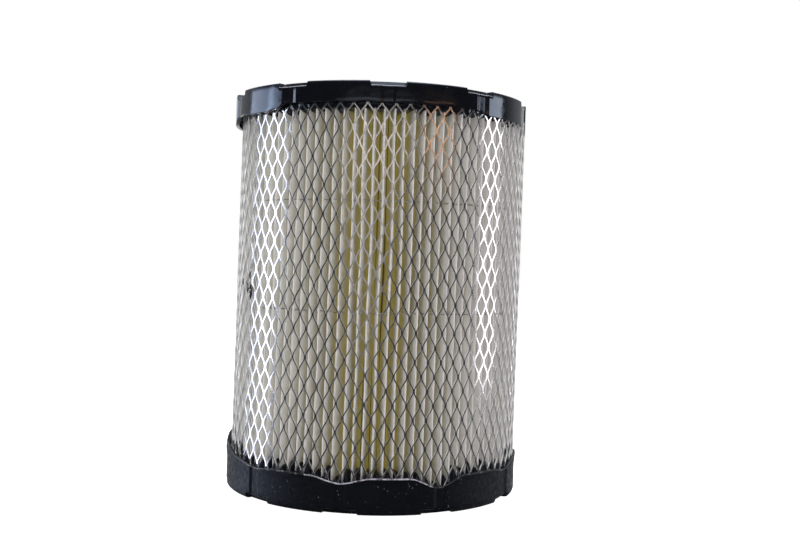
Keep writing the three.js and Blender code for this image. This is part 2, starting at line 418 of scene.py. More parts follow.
def crimp_material():
    """Dark crushed metal with a few bright torn patches."""
    material = new_material("crimp_steel", (0.07, 0.07, 0.072), 0.4, metallic=1.0)
    nodes = Nodes(material)
    torn = nodes.ramp(nodes.noise(1.6 * MM, 2), 0.6, 0.66)
    nodes.link(nodes.mix(torn, (0.03, 0.03, 0.032), (0.85, 0.86, 0.9)), nodes.shader.inputs["Base Color"])
    nodes.bump(nodes.noise(0.5 * MM, 3), 0.05 * MM)
    return material


def paper_material():
    """Resin-treated filter paper: grey-white at the fold tips, toned down by painted shade, and deep in the
    folds a yellow that is partly the paper's cream and partly painted transmitted light, with a painted yellow
    glow.
    """
    material = new_material("filter_paper", (0.7, 0.67, 0.58), 0.9, Specular_IOR_Level=0.2)
    nodes = Nodes(material)
    distance = nodes.axis_distance()
    # Painted shade on the fold tips and painted transmitted light deep in the folds, faded to a plainer paper
    # tone near the bore.
    near_tip = nodes.ramp(distance, PLEAT_TIP - 0.7 * MM, PLEAT_TIP - 0.1 * MM)
    shallow = nodes.ramp(distance, PLEAT_TIP - 9.0 * MM, PLEAT_TIP - 1.5 * MM)
    leg_color_and_painted_light = nodes.mix(shallow, PAPER_DEEP_AND_PAINTED_LIGHT, PAPER_SHALLOW)
    fold_color_and_painted_light = nodes.mix(near_tip, leg_color_and_painted_light, PAPER_TIP_WITH_PAINTED_SHADE)
    near_bore = nodes.ramp(distance, PLEAT_VALLEY + 0.5 * MM, PLEAT_VALLEY + 4 * MM, 1, 0)
    fold_color_and_painted_light = nodes.mix(near_bore, fold_color_and_painted_light, PAPER_AT_BORE)
    mottle = nodes.ramp(nodes.noise(2.5 * MM, 5, 0.65), 0.3, 0.7, 0.0, 0.2)
    mottled = nodes.mix(mottle, fold_color_and_painted_light, (0.46, 0.44, 0.36))
    fibres = nodes.noise(0.25 * MM, 4, 0.7, nodes.stretched(1, 1, 0.35))
    speckled = nodes.mix(nodes.ramp(fibres, 0.55, 0.75, 0.0, 0.3), mottled, (0.72, 0.71, 0.68))
    nodes.link(speckled, nodes.shader.inputs["Base Color"])
    nodes.bump(nodes.math("ADD", fibres, nodes.noise(1.2 * MM, 3)), 0.08 * MM)
    # Painted glow: yellow emission deep in the folds, faded out near the bore.
    nodes.shader.inputs["Emission Color"].default_value = PAINTED_TRANSMITTED_GLOW
    painted_glow = nodes.ramp(distance, PLEAT_TIP - 10.0 * MM, PLEAT_TIP - 3.0 * MM, LARGEST_PAINTED_GLOW, 0.0)
    inside = nodes.ramp(near_bore, 0, 1, 1, 0)
    nodes.link(nodes.math("MULTIPLY", painted_glow, inside), nodes.shader.inputs["Emission Strength"])
    return material


def glue_material():
    """Cloudy hot-melt glue, darkened as painted shade for the bead's shadow."""
    material = new_material("hot_melt_glue", (0.18, 0.17, 0.14), 0.5, Subsurface_Weight=0.1)
    nodes = Nodes(material)
    # Painted shade: both cloud colours are far darker than the glue's own pale tone.
    cloud = nodes.ramp(nodes.noise(1.5 * MM, 3), 0.35, 0.65)
    nodes.link(nodes.mix(cloud, (0.13, 0.125, 0.1), (0.22, 0.21, 0.18)), nodes.shader.inputs["Base Color"])
    nodes.bump(nodes.noise(0.8 * MM, 2), 0.05 * MM)
    return material


# ---- end caps -----------------------------------------------------------------------------------
RIM_START = CAP_RADIUS - NOTCH_RADIAL_DEPTH
LAND_ROUND = 0.4 * MM
OUTER_LAND_EDGE = 48.0 * MM
GROOVE_OUTER = 47.4 * MM
GROOVE_INNER = 40.4 * MM
INNER_LAND_EDGE = 39.8 * MM
GROOVE_DEPTH = 1.6 * MM
CAP_FLOOR = 5 * MM
INNER_SKIRT = 8 * MM
LONGEST_SEGMENT = 1.6 * MM

TOP_RIM_ROUND = 0.6 * MM
TOP_SHORTFALL = 1.5 * MM
TOP_SIDE_TAB = 2.2 * MM
TOP_LEFT_SAG = 0.7 * MM
TOP_RAGGEDNESS = 0.2 * MM

BOTTOM_RIM_ROUND = 1.6 * MM
BOTTOM_SIDE_RISE = 1.5 * MM
BOTTOM_LEFT_LIP = 2.2 * MM
BOTTOM_LIP_STEP = 0.35 * MM
BOTTOM_RAGGEDNESS = 0.12 * MM
DIP_DEPTHS = np.array([2.0, 3.4, 1.8, 1.4, 2.4, 1.2, 2.8, 1.6, 2.0, 0.9]) * MM
DIP_REACH = 11.5


def signed_angle(angles):
    """The same angles, from -180 to 180."""
    return (angles + 180) % 360 - 180


def flute_drift(notch_angle):
    """How far round a flute's centre lies from its notch's centre, which is at notch_angle."""
    return np.clip(FLUTE_DRIFT * signed_angle(notch_angle), -LARGEST_DRIFT, LARGEST_DRIFT)


def cap_angles(phase):
    """Angles round a cap, close together at the edges of its notches and flutes."""
    coarse = np.arange(-SECTOR / 2, SECTOR / 2, 1.0)
    sectors = []
    for index in range(NOTCH_COUNT):
        notch_angle = phase + SECTOR * index
        edges = []
        for side in (-1, 1):
            edges.append(side * (NOTCH_HALF_WIDTH + np.array([-0.4, -0.24, -0.08, 0.08, 0.24, 0.4])))
            edges.append(flute_drift(notch_angle) + side * FLUTE_HALF_WIDTH + np.linspace(-0.9, 0.9, 9))
        local = np.unique(np.round(np.concatenate([coarse, *edges]), 3))
        gaps = np.diff(local, append=local[0] + SECTOR)
        sectors.append(local[gaps > 0.06] + notch_angle)
    return np.concatenate(sectors)


def from_centre(angles, phase):
    """Signed angle from the nearest notch's centre."""
    return (angles - phase + SECTOR / 2) % SECTOR - SECTOR / 2


def rounded_profile(corners, steps=5):
    """Closed [radius, depth, rounding] corners turned into points, with an arc at each corner."""
    points = []
    count = len(corners)
    for index, (radius, depth, rounding) in enumerate(corners):
        here = np.array([radius, depth])
        before = np.array(corners[index - 1][:2]) - here
        after = np.array(corners[(index + 1) % count][:2]) - here
        if rounding == 0:
            points.append(here)
            continue
        start = here + before / np.linalg.norm(before) * rounding
        end = here + after / np.linalg.norm(after) * rounding
        for step in range(steps + 1):
            t = step / steps
            points.append((1 - t) ** 2 * start + 2 * t * (1 - t) * here + t * t * end)
    return np.array(points)


def filled_profile(points, longest):
    """The same closed profile with extra points where two neighbours are further apart than longest."""
    filled = []
    for here, following in zip(points, np.roll(points, -1, axis=0)):
        pieces = max(1, math.ceil(np.linalg.norm(following - here) / longest))
        for piece in range(pieces):
            filled.append(here + (following - here) * piece / pieces)
    return np.array(filled)


def cap_profile(skirt, wall_radius, rim_round):
    """Closed section of a cap as radius and depth from its end face."""
    inner_wall = SCREEN_RADIUS + 0.1 * MM
    corners = [
        (wall_radius, 0, rim_round),
        (RIM_START + 0.2 * MM, 0, 0),
        (RIM_START, 0, 0),
        (RIM_START - 0.2 * MM, 0, 0),
        (OUTER_LAND_EDGE, 0, LAND_ROUND),
        (GROOVE_OUTER, GROOVE_DEPTH, LAND_ROUND),
        (GROOVE_INNER, GROOVE_DEPTH, LAND_ROUND),
        (INNER_LAND_EDGE, 0, LAND_ROUND),
        (BORE_RADIUS + 0.3 * MM, 0, 1.4 * MM),
        (BORE_RADIUS, INNER_SKIRT, 0.5 * MM),
        (CORE_RADIUS - 1.7 * MM, INNER_SKIRT, LAND_ROUND),
        (CORE_RADIUS - 1.5 * MM, CAP_FLOOR, LAND_ROUND),
        (inner_wall, CAP_FLOOR, LAND_ROUND),
        (inner_wall, skirt, 0.2 * MM),
        (wall_radius, skirt, 0.35 * MM),
    ]
    return filled_profile(rounded_profile(corners), LONGEST_SEGMENT)


def cap_surface(phase, skirt, wall_radius, rim_round, edge_shift):
    """Angles round a cap, and the radius and depth of each of its points as (angles, profile) arrays.

    edge_shift(angles) moves the skirt's edge away from the end face.
    """
    angles = cap_angles(phase)
    profile = cap_profile(skirt, wall_radius, rim_round)
    from_notch = from_centre(angles, phase)
    off_centre = np.abs(from_notch)[:, None]
    off_flute = np.abs(from_notch - flute_drift(angles - from_notch))[:, None]
    radius = np.repeat(profile[None, :, 0], len(angles), axis=0)
    depth = np.repeat(profile[None, :, 1], len(angles), axis=0)
    on_wall = smoothstep(radius, SCREEN_RADIUS + 0.5 * MM, wall_radius - 0.05 * MM)
    in_notch = 1 - smoothstep(off_centre, NOTCH_HALF_WIDTH - 0.24, NOTCH_HALF_WIDTH + 0.24)
    in_flute = 1 - smoothstep(off_flute, FLUTE_HALF_WIDTH - FLUTE_WALL / 2, FLUTE_HALF_WIDTH + FLUTE_WALL / 2)
    at_rim = smoothstep(radius, RIM_START - 0.1 * MM, RIM_START + 0.1 * MM)
    squeeze_end = 4 * MM
    squeezed = NOTCH_DEPTH + depth * (squeeze_end - NOTCH_DEPTH) / squeeze_end
    near_face = depth < squeeze_end
    depth = np.where(near_face, depth + in_notch * at_rim * (squeezed - depth), depth)
    radius = radius - in_flute * on_wall * FLUTE_DEPTH
    at_edge = smoothstep(depth, skirt * 0.35, skirt) * (radius > SCREEN_RADIUS - 0.5 * MM)
    depth = depth + at_edge * edge_shift(angles)[:, None]
    return angles, radius, depth


def cap_points(angles, radius, z):
    """Points of a cap at its (angles, profile) radii and heights."""
    x, y = on_circle(radius, angles[:, None])
    return np.stack([x, y, z], axis=-1)


def top_cap(material):
    """The glossy cap: its skirt stops short at the front and back and sags in a tab at each side."""

    def edge_shift(angles):
        facing = np.abs(np.cos(np.radians(angles)))
        side = np.abs(np.sin(np.radians(angles)))
        short = -TOP_SHORTFALL * smoothstep(facing, 0.755, 0.8)
        tab = TOP_SIDE_TAB * smoothstep(side, 0.95, 0.995)
        ragged = TOP_RAGGEDNESS * ring_noise(angles, (23, 37, 53)) * smoothstep(facing, 0.7, 0.85)
        signed = signed_angle(angles)
        left_sag = TOP_LEFT_SAG * smoothstep(signed, -66, -58) * (1 - smoothstep(signed, -46, -42))
        return short + tab + ragged + left_sag

    angles, radius, depth = cap_surface(TOP_PHASE, TOP_SKIRT, CAP_RADIUS, TOP_RIM_ROUND, edge_shift)
    points = cap_points(angles, radius, HEIGHT - depth)
    faces = grid_faces(*radius.shape)[:, ::-1]
    make_piece("top_cap_moulding", points, faces, material, "top_end_cap", crease=50)


def bottom_edge(angles):
    """Height of the bottom cap's upper edge: it dips at each notch and rises at the sides, most at -X."""
    off_centre = np.abs(from_centre(angles, BOTTOM_PHASE))
    notch = np.round((angles - BOTTOM_PHASE) / SECTOR).astype(int) % NOTCH_COUNT
    dips = DIP_DEPTHS[notch] * (1 - smoothstep(off_centre, 0, DIP_REACH))
    side = np.abs(np.sin(np.radians(angles)))
    rise = BOTTOM_SIDE_RISE * smoothstep(side, 0.78, 1.0)
    lip = BOTTOM_LEFT_LIP * smoothstep(-np.sin(np.radians(angles)), 0.9, 0.985)
    return BOTTOM_SKIRT + 0.1 * MM - dips + rise + lip


def bottom_cap(material):
    """The satin cap, whose wall steps out to a wavy lip at its upper edge."""
    wall_radius = CAP_RADIUS - BOTTOM_LIP_STEP

    def edge_shift(angles):
        ragged = BOTTOM_RAGGEDNESS * ring_noise(angles, (40, 63, 97))
        return bottom_edge(angles) - BOTTOM_SKIRT + ragged

    angles, radius, depth = cap_surface(
        BOTTOM_PHASE, BOTTOM_SKIRT, wall_radius, BOTTOM_RIM_ROUND, edge_shift
    )
    near_edge = smoothstep(depth, BOTTOM_SKIRT - 2.4 * MM, BOTTOM_SKIRT + 1.0 * MM)
    outside = smoothstep(radius, SCREEN_RADIUS + 0.4 * MM, wall_radius - 0.2 * MM)
    radius = np.minimum(radius + near_edge * outside * BOTTOM_LIP_STEP, CAP_RADIUS)
    points = cap_points(angles, radius, depth)
    faces = grid_faces(*radius.shape)
    make_piece(
        "bottom_cap_casting", points, faces, material, "bottom_end_cap", crease=38
    )


def bottom_flash(material):
    """Thin ragged fin of flash along the bottom cap's upper edge."""
    steps = 1440
    overlap = 0.35 * MM
    angles = np.linspace(0, 360, steps, endpoint=False)
    side = np.abs(np.sin(np.radians(angles)))
    curled = smoothstep(-np.sin(np.radians(angles)), 0.93, 0.99)
    thickness = (0.075 + 0.03 * ring_noise(angles, (23, 51, 90))) * MM
    thickness = np.clip(thickness, 0.04 * MM, None) + 0.3 * MM * curled
    ragged = 0.08 + 0.25 * smoothstep(side, 0.4, 0.8)
    rise = (0.08 + ragged * np.abs(ring_noise(angles, (77, 141, 233))) + 0.9 * curled) * MM
    middle = CAP_RADIUS - 0.05 * MM - thickness
    base = bottom_edge(angles) - overlap
    top = base + overlap + rise
    section = np.stack(
        [
            np.stack([middle - thickness, base], -1),
            np.stack([middle + thickness, base], -1),
            np.stack([middle + thickness * 0.7, top], -1),
            np.stack([middle - thickness * 0.5, top], -1),
        ],
        axis=1,
    )
    x, y = on_circle(section[..., 0], angles[:, None])
    points = np.stack([x, y, section[..., 1]], -1)
    faces = grid_faces(steps, 4)
    make_piece("bottom_cap_flash", points, faces, material, "bottom_end_cap")


def potting(name, level, away, creep, node, material):
    """Cast fill between the pleats, drawn up into a small point in each valley.

    level(angles) is the fill's height, and away is +1 where it creeps up and -1 where it creeps down.
    """
    per_pleat = 8
    angles = np.arange(PLEATS * per_pleat) * PLEAT_PITCH / per_pleat
    valley = 0.5 - 0.5 * np.cos(np.radians(angles * PLEATS))
    strength = np.repeat(rng.uniform(0.45, 1.25, PLEATS), per_pleat)
    radii = np.array([53.75, 53.2, 52.6, 51.6, 49.5, 46.0, 41.0, 36.6]) * MM
    reach = np.array([0.35, 0.6, 0.85, 1.0, 0.9, 0.75, 0.6, 0.4])
    lift = creep * (strength * valley**1.6)[:, None] * reach[None, :]
    upper = level(angles)[:, None] + away * lift
    depth = 3.5 * MM
    lower = np.repeat((level(angles) - away * depth)[:, None], len(radii), axis=1)
    radius = np.concatenate([radii, radii[::-1]])
    z = np.concatenate([upper, lower[:, ::-1]], axis=1)
    x, y = on_circle(radius[None, :], angles[:, None])
    points = np.stack([leaned(x, z), y, z], -1)
    faces = grid_faces(len(angles), len(radius))
    if away > 0:
        faces = faces[:, ::-1]
    make_piece(name, points, faces, material, node)


# ---- screens ------------------------------------------------------------------------------------
STRETCHED_ANGLE = 30.0
STEPS_PER_CELL = 12

OUTER_DIAMONDS = 71
OUTER_PITCH = 180 / OUTER_DIAMONDS
OUTER_OVERLAP = 5
OUTER_TUCK = 0.8 * MM

INNER_PITCH = 4.0
INNER_OVERLAP = 10
INNER_TUCK = 0.85 * MM


def expanded_screen(name, layout, material, node):
    """Expanded metal as wavy vertical strands that meet their neighbours at each bond.

    The cells near the first edge can be stretched round the pack, and those above a height squashed.
    """
    strands = layout["strands"]
    pitch = layout["pitch"]
    long_way = layout["long_way"]
    width = layout["width"]
    thickness = layout["thickness"]
    low, high = layout["low"], layout["high"]
    steps = int(round((high - low) / long_way * STEPS_PER_CELL)) + 1
    z = np.linspace(low, high, steps)
    index = np.arange(strands)[:, None]
    middle_radius = layout["radius"](pitch * index)
    half_pitch = np.radians(pitch) / 2 * layout["nominal_radius"]
    amplitude = half_pitch - width / 2 * math.cos(layout["tilt"])
    home = layout["start"] + pitch * (index + 0.5)
    slack = np.maximum(layout["start"] + STRETCHED_ANGLE - home, 0)
    spread = 1 + layout["stretch"] * (slack > 0)
    climbed = z[None, :] - layout["datum"] - layout["climb"] * home
    phase = (climbed / long_way + 0.5 * (index % 2)) % 1.0
    triangle = 2 * np.abs(phase - 0.5)
    bond = layout["bond"] / long_way
    slope = np.clip((triangle - bond) / (1 - 2 * bond), 0, 1)
    slope = layout["straight"] * slope + (1 - layout["straight"]) * slope * slope * (3 - 2 * slope)
    swing = 2 * slope - 1
    sideways = -amplitude * swing * spread
    wander = layout["wander"] * wave_noise(strands, steps, (1, 2, 3), smooth_across=3)
    widths = width * (1 + 0.12 * wave_noise(strands, steps, (11, 23)))
    outward = layout["ripple"] * wave_noise(strands, steps, (1, 3), smooth_across=4)
    radius = middle_radius + width / 2 * math.sin(layout["tilt"]) * swing + outward
    stretched_home = home - layout["stretch"] * slack
    angle = stretched_home + np.degrees((sideways + wander) / layout["nominal_radius"])
    squashed = layout["squashed_above"]
    z = np.minimum(z, squashed) + layout["squash"] * np.maximum(z - squashed, 0)
    x, y = on_circle(radius, angle)
    paths = np.stack([leaned(x, z[None, :]), y, np.broadcast_to(z, radius.shape)], -1)
    turn = np.radians(angle)
    out = np.stack([np.sin(turn), -np.cos(turn), np.zeros_like(turn)], -1)
    along = np.stack([np.cos(turn), np.sin(turn), np.zeros_like(turn)], -1)
    tilt = (layout["tilt"] + layout["twist"] * wave_noise(strands, steps, (2, 5, 9)))[..., None]
    sides = np.cos(tilt) * along + np.sin(tilt) * out
    outs = np.cos(tilt) * out - np.sin(tilt) * along
    direction = np.gradient(sideways, axis=1) / np.gradient(z)[None, :]
    widths = widths * np.sqrt(1 + direction**2)
    points, faces = bars(paths, sides, outs, widths, thickness)
    make_piece(name, points, faces, material, node, crease=50)


def outer_screen(material):
    """The bright screen: its last cells are tucked under its first edge."""
    middle = SCREEN_RADIUS - 0.25 * MM

    def radius(travelled):
        return middle - OUTER_TUCK * smoothstep(travelled, 360 - 12, 360 - 1)

    layout = {
        "strands": int((360 + OUTER_OVERLAP) / OUTER_PITCH),
        "pitch": OUTER_PITCH,
        "long_way": 9.81 * MM,
        "width": 0.43 * MM,
        "thickness": 0.5 * MM,
        "low": 8.4 * MM,
        "high": HEIGHT - 5.4 * MM,
        "squashed_above": 135.2 * MM,
        "squash": 0.73,
        "straight": 0.82,
        "stretch": 0.085,
        "radius": radius,
        "nominal_radius": middle,
        "tilt": 0.0,
        "twist": math.radians(1.6),
        "bond": 1.5 * MM,
        "wander": 0.08 * MM,
        "ripple": 0.05 * MM,
        "start": -57.0,
        "datum": 2.78 * MM,
        "climb": -0.0085 * MM,
    }
    expanded_screen("outer_screen_mesh", layout, material, "outer_screen")


def inner_screen(material):
    """The core screen, coarser and heavier, with its last cells inside its first edge."""
    middle = CORE_RADIUS - 0.45 * MM

    def radius(travelled):
        return middle - INNER_TUCK * smoothstep(travelled, 360 - 14, 360 - 1)

    layout = {
        "strands": int((360 + INNER_OVERLAP) / INNER_PITCH),
        "pitch": INNER_PITCH,
        "long_way": 10.8 * MM,
        "width": 0.75 * MM,
        "thickness": 0.45 * MM,
        "low": 5.5 * MM,
        "high": HEIGHT - 5.5 * MM,
        "squashed_above": HEIGHT,
        "squash": 1.0,
        "straight": 0.6,
        "stretch": 0.0,
        "radius": radius,
        "nominal_radius": middle,
        "tilt": math.radians(-12),
        "twist": math.radians(3),
        "bond": 1.6 * MM,
        "wander": 0.1 * MM,
        "ripple": 0.08 * MM,
        "start": 150.0,
        "datum": 0.0,
        "climb": 0.0,
    }
    expanded_screen("inner_screen_mesh", layout, material, "inner_screen")


# ---- paper pack ---------------------------------------------------------------------------------
PAPER = 0.36 * MM
FOLD_RADIUS = 0.14 * MM
TIP_TURNS = np.radians([-90, -45, 0, 45, 90])
LEG_STOPS = np.array([0.25, 0.5, 0.75])
TIP_SWAY = 0.75 * MM
TIP_DENT = 0.5 * MM
LEG_BULGE = 0.5 * MM
TIP_SPREAD = 0.16


def folded_line(rows):
    """Radius and angle of the sheet's middle, as (rows, columns) arrays, in folds that wander a little."""
    level = np.zeros(rows)
    free = np.sin(np.pi * np.linspace(0, 1, rows)) ** 0.5
    sway = wave_noise(PLEATS, rows, (0.5, 1, 2, 3), smooth_across=1) * TIP_SWAY * free
    tip_in = np.abs(wave_noise(PLEATS, rows, (0.5, 1, 2))) * TIP_DENT * free
    bulge = wave_noise(PLEATS, rows, (0.5, 1, 2)) * LEG_BULGE * free
    tip_angle = (np.arange(PLEATS) + 0.5) * PLEAT_PITCH + 180
    uneven = rng.normal(0, TIP_SPREAD, PLEATS)
    columns = []
    for pleat in range(PLEATS):
        centre = np.radians(tip_angle[pleat] + uneven[pleat])
        following = np.radians(tip_angle[pleat] + PLEAT_PITCH / 2)
        tip_centre = PLEAT_TIP - tip_in[pleat] - FOLD_RADIUS
        for turn in TIP_TURNS:
            radius = tip_centre + FOLD_RADIUS * math.cos(turn)
            shift = FOLD_RADIUS * math.sin(turn) + sway[pleat]
            columns.append((radius, centre + shift / radius))
        valley_centre = PLEAT_VALLEY + FOLD_RADIUS
        leg_start = (tip_centre, centre + (FOLD_RADIUS + sway[pleat]) / tip_centre)
        leg_end = (valley_centre, following - FOLD_RADIUS / valley_centre)
        for stop in LEG_STOPS:
            columns.append(leg_point(leg_start, leg_end, stop, bulge[pleat]))
        for turn in TIP_TURNS[1:-1]:
            radius = valley_centre - FOLD_RADIUS * math.cos(turn)
            columns.append((radius + level, following + FOLD_RADIUS * math.sin(turn) / radius + level))
        after = (pleat + 1) % PLEATS
        next_centre = np.radians(tip_angle[pleat] + PLEAT_PITCH + uneven[after])
        next_tip = PLEAT_TIP - tip_in[after] - FOLD_RADIUS
        back_start = (valley_centre, following + FOLD_RADIUS / valley_centre)
        back_end = (next_tip, next_centre + (sway[after] - FOLD_RADIUS) / next_tip)
        for stop in LEG_STOPS:
            columns.append(leg_point(back_start, back_end, stop, bulge[after]))
    radius = np.stack([column[0] for column in columns], axis=1)
    turn = np.stack([column[1] for column in columns], axis=1)
    return radius, turn


def pleat_pack(material):
    """One sheet of paper, folded and closed into a ring between the caps."""
    rows = 30
    z = np.linspace(PACK_LOW, PACK_HIGH, rows)
    radius, turn = folded_line(rows)
    middle = np.stack([radius * np.sin(turn), -radius * np.cos(turn)], axis=-1)
    tangent = np.roll(middle, -1, axis=1) - np.roll(middle, 1, axis=1)
    tangent /= np.linalg.norm(tangent, axis=-1, keepdims=True)
    across = np.stack([tangent[..., 1], -tangent[..., 0]], axis=-1)
    outer = middle + across * PAPER / 2
    inner = middle - across * PAPER / 2
    sheet = np.concatenate([outer, inner[:, ::-1]], axis=1)
    heights = np.broadcast_to(z[:, None], sheet.shape[:2])
    points = np.stack([leaned(sheet[..., 0], heights), sheet[..., 1], heights], axis=-1)
    around = middle.shape[1]
    side = grid_faces(rows, 2 * around, wrap_rows=False)
    column_index = side[:, 0] % (2 * around)
    side = side[(column_index != around - 1) & (column_index != 2 * around - 1)]
    closing = close_sheet(rows, around)
    faces = np.concatenate([side, closing])[:, ::-1]
    make_piece("pleat_pack", points, faces, material, "pleated_paper")


def leg_point(start, end, stop, bulge):
    """Point part way along a leg of a pleat, bowed sideways."""
    radius = start[0] + (end[0] - start[0]) * stop
    turn = start[1] + (end[1] - start[1]) * stop
    return radius, turn + bulge * math.sin(math.pi * stop) / radius


def close_sheet(rows, around):
    """Faces that join the sheet's outer and inner sides into one closed ring."""
    width = 2 * around
    row = np.arange(rows - 1) * width
    outer_wrap = np.stack([row + around - 1, row + width + around - 1, row + width, row], -1)
    inner_wrap = np.stack([row + width - 1, row + 2 * width - 1, row + width + around, row + around], -1)
    column = np.arange(around)
    following = (column + 1) % around
    low = np.stack([column, following, width - 1 - following, width - 1 - column], -1)
    high = (low + (rows - 1) * width)[:, ::-1]
    return np.concatenate([outer_wrap, inner_wrap, low, high])


def glue_bead(name, node, material):
    """Thin bead of glue laid level round the pleats, dipping slightly between their tips."""
    steps = PLEATS * 8
    angles = np.arange(steps) * 360 / steps
    dip = 0.5 - 0.5 * np.cos(np.radians(angles * PLEATS))
    radius = PLEAT_TIP - 0.6 * MM - 0.7 * MM * dip
    height = BEAD_HEIGHTS[node] + 0.12 * MM * ring_noise(angles, (7, 19, 33))
    thick = (0.14 + 0.02 * ring_noise(angles, (41, 83))) * MM
    sides = 8
    around = np.linspace(0, 2 * np.pi, sides, endpoint=False)
    section_radius = radius[:, None] + 0.7 * thick[:, None] * np.cos(around)[None, :]
    z = height[:, None] + 1.4 * thick[:, None] * np.sin(around)[None, :]
    x, y = on_circle(section_radius, angles[:, None])
    points = np.stack([leaned(x, z), y, z], -1)
    make_piece(name, points, grid_faces(steps, sides), material, node)


def seam_clip(material):
    """Folded metal channel over the paper's two end legs, with a crimped wave along its length."""
    rows = 60
    z = np.linspace(CLIP_LOW[2], CLIP_HIGH[2], rows)
    half_width = (CLIP_HIGH[0] - CLIP_LOW[0]) / 2
    back, front = CLIP_LOW[1], CLIP_HIGH[1]
    wall = 0.3 * MM
    crimp = 0.08 * MM * np.cos(2 * np.pi * z / (4 * MM))
    corners = [
        (half_width, front, 1),
        (half_width, back, 1),
        (-half_width, back, -1),
        (-half_width, front, -1),
        (wall - half_width, front, -1),
        (wall - half_width, back + wall, -1),
        (half_width - wall, back + wall, 1),
        (half_width - wall, front, 1),
    ]
    section = []
    for x, y, side in corners:
        section.append(np.stack([x + side * crimp, np.full(rows, y), z], -1))
    points = np.stack(section, axis=1)
    points[..., 0] = leaned(points[..., 0], points[..., 2])
    count = len(corners)
    side_faces = grid_faces(rows, count, wrap_rows=False)
    last = (rows - 1) * count
    floor = np.array([[0, 1, 6, 7], [1, 2, 5, 6], [2, 3, 4, 5]])
    faces = np.concatenate([side_faces, floor[:, ::-1], floor + last])
    make_piece("paper_seam_clip_fold", points, faces, material, "paper_seam_clip")


# ---- crushed spot on the seam -------------------------------------------------------------------
CRIMP_SCATTER = np.array([2.1, 2.3]) * MM


def seam_crimp(material):
    """Short crushed strips of dark metal, mostly upright, round a pinch in the outer screen."""
    strips = 12
    steps = 7
    middle = (Vector(CRIMP_LOW) + Vector(CRIMP_HIGH)) / 2
    centre_angle = math.degrees(math.atan2(middle.x, -middle.y))
    surface = SCREEN_RADIUS + 0.05 * MM
    paths, sides, outs, widths = [], [], [], []
    for _ in range(strips):
        heading = rng.normal(np.pi / 2, 0.3)
        bend = rng.uniform(-0.9, 0.9)
        length = rng.uniform(1.8, 4.4) * MM
        start = rng.normal(0, 1, 2) * CRIMP_SCATTER + np.array([0.5 * MM, -length / 2])
        along = np.linspace(0, 1, steps)
        direction = heading + bend * along
        across = start[0] + np.cumsum(np.cos(direction)) * length / steps * 0.75
        up = start[1] + np.cumsum(np.sin(direction)) * length / steps * 1.1
        lift = (0.55 * np.sin(np.pi * along * rng.uniform(0.6, 1.4)) + 0.1) * MM * rng.uniform(0.3, 1.0)
        angle = centre_angle + np.degrees(across / surface)
        x, y = on_circle(surface + lift, angle)
        z = middle.z + up
        path = np.stack([leaned(x, z), y, z], -1)
        travel = np.gradient(path, axis=0)
        travel /= np.linalg.norm(travel, axis=1, keepdims=True)
        turn = np.radians(angle)
        out = np.stack([np.sin(turn), -np.cos(turn), 0 * turn], -1)
        side = np.cross(travel, out)
        side /= np.linalg.norm(side, axis=1, keepdims=True)
        paths.append(path)
        sides.append(side)
        outs.append(np.cross(side, travel))
        widths.append(rng.uniform(0.4, 0.85) * MM * (0.25 + 0.75 * np.sin(np.pi * along)))
    strip_thickness = 0.2 * MM
    points, faces = bars(np.array(paths), np.array(sides), np.array(outs), np.array(widths), strip_thickness)
    make_piece("seam_crimp_strips", points, faces, material, "outer_screen_seam_crimp")


# ---- stage, camera and lights -------------------------------------------------------------------
def white_floor():
    """Plain pale floor under the cartridge."""
    half = 3.0
    mesh = bpy.data.meshes.new("floor")
    corners = [(-half, -half, 0), (half, -half, 0), (half, half, 0), (-half, half, 0)]
    mesh.from_pydata(corners, [], [(0, 1, 2, 3)])
    floor = bpy.data.objects.new("floor", mesh)
    bpy.context.scene.collection.objects.link(floor)
    floor.location.z = -0.2 * MM
    material = new_material("floor_white", (0.95, 0.95, 0.95), 0.9, Specular_IOR_Level=0.0)
    shader = material.node_tree.nodes["Principled BSDF"]
    shader.inputs["Emission Color"].default_value = (1, 1, 1, 1)
    shader.inputs["Emission Strength"].default_value = 1.0
    mesh.materials.append(material)
    floor.visible_glossy = False
    floor.visible_shadow = False


ROOM_LIGHT = 0.42
DARK_LIGHT = 0.06


